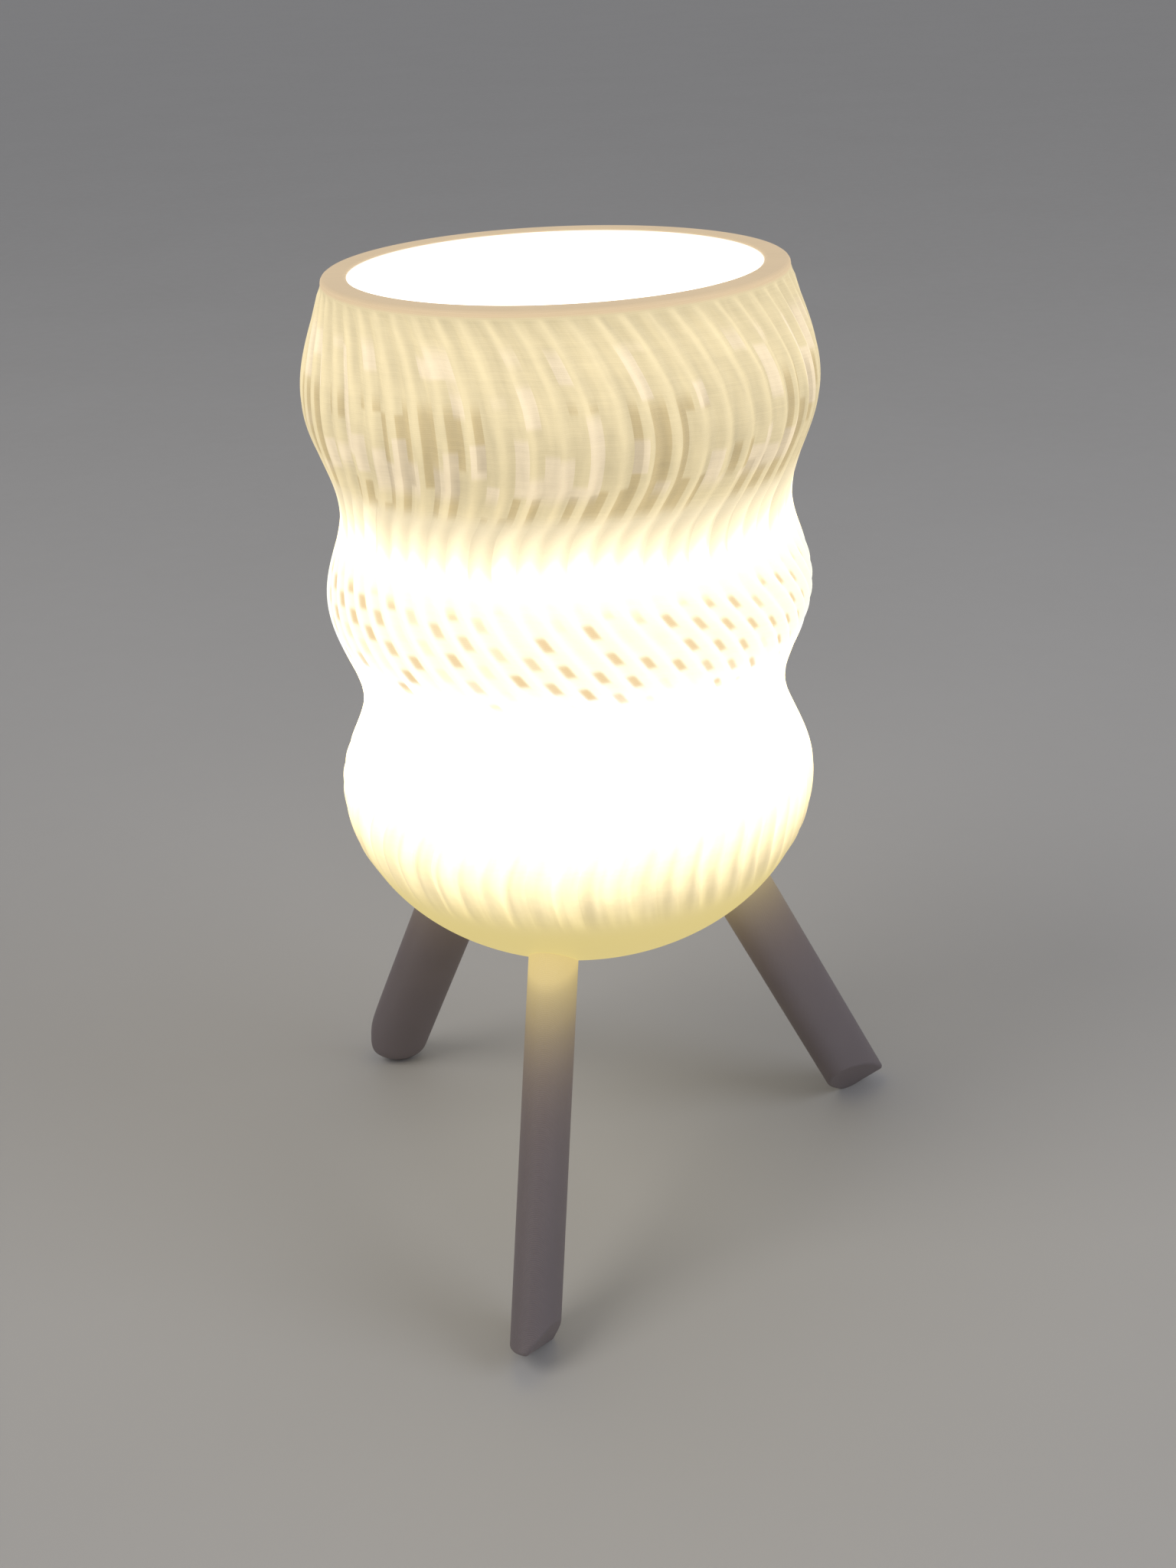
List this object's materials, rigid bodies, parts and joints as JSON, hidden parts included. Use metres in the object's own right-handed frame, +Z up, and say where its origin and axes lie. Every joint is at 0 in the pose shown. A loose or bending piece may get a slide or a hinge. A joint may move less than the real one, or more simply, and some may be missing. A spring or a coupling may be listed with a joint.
{
  "type": "table lamp",
  "caption": "Tripod table lamp: a wavy, finely ribbed, open-topped shade in translucent plastic on a smooth dome with three straight splayed legs, bulb inside.",
  "frame": {"origin": "in the plane of the feet, under the middle of the overall outline; the lamp's own axis stands 0.79 mm along -X and 16.66 mm along +Y from it", "axes": "+Z up along the lamp's axis, -Y towards the front leg, +X to the right seen from the front leg"},
  "size_m": [0.1708, 0.1666, 0.274],
  "materials": {
    "translucent_plastic": "printed, translucent, lit from inside",
    "leg_plastic": "printed, satin",
    "zinc_steel": "zinc plated",
    "holder_plastic": "moulded",
    "terminal_block": "moulded",
    "brass_metal": "plain",
    "nickel_metal": "nickel plated",
    "black_glass": "smooth",
    "bulb_plastic": "moulded",
    "circuit_board": "lacquered",
    "led_board": "white lacquer",
    "diffuser_plastic": "opal"
  },
  "bodies": {
    "lamp": {"shade": "translucent_plastic", "dome_base": "translucent_plastic", "nipple": "zinc_steel", "washer_lower": "zinc_steel", "washer_upper": "zinc_steel", "hex_nut": "zinc_steel", "holder_cap": "holder_plastic", "holder_sleeve": "holder_plastic", "holder_insert": "terminal_block", "contact_centre": "brass_metal", "contact_side": "brass_metal", "terminal_screws": "zinc_steel"},
    "leg_front": {"leg_front": "leg_plastic"},
    "leg_right": {"leg_right": "leg_plastic"},
    "leg_left": {"leg_left": "leg_plastic"},
    "bulb_contact": {"bulb_eyelet": "brass_metal"},
    "bulb": {"bulb_insulator": "black_glass", "bulb_cap": "nickel_metal", "bulb_housing": "bulb_plastic", "bulb_driver": "circuit_board", "bulb_board": "led_board", "bulb_diffuser": "diffuser_plastic"}
  },
  "joints": [
    {"name": "leg_front_pull", "type": "slide", "parent": "lamp", "child": "leg_front", "axis": [0, -0.4524, -0.8918], "range_m": [0, 0.022]},
    {"name": "leg_right_pull", "type": "slide", "parent": "lamp", "child": "leg_right", "axis": [0.3918, 0.2262, -0.8918], "range_m": [0, 0.022]},
    {"name": "leg_left_pull", "type": "slide", "parent": "lamp", "child": "leg_left", "axis": [-0.3918, 0.2262, -0.8918], "range_m": [0, 0.022]},
    {"name": "bulb_lift", "type": "slide", "parent": "lamp", "child": "bulb_contact", "axis": [0, 0, 1], "range_m": [0, 0.0198]},
    {"name": "bulb_turn", "type": "hinge", "parent": "bulb_contact", "child": "bulb", "pos_m": [-0.00079, 0.01666, 0.13], "axis": [0, 0, 1], "range_deg": [0, 2520]}
  ],
  "couplings": [
    {"joint": "bulb_lift", "follows": "bulb_turn", "m_per_rad": 0.00044882}
  ]
}
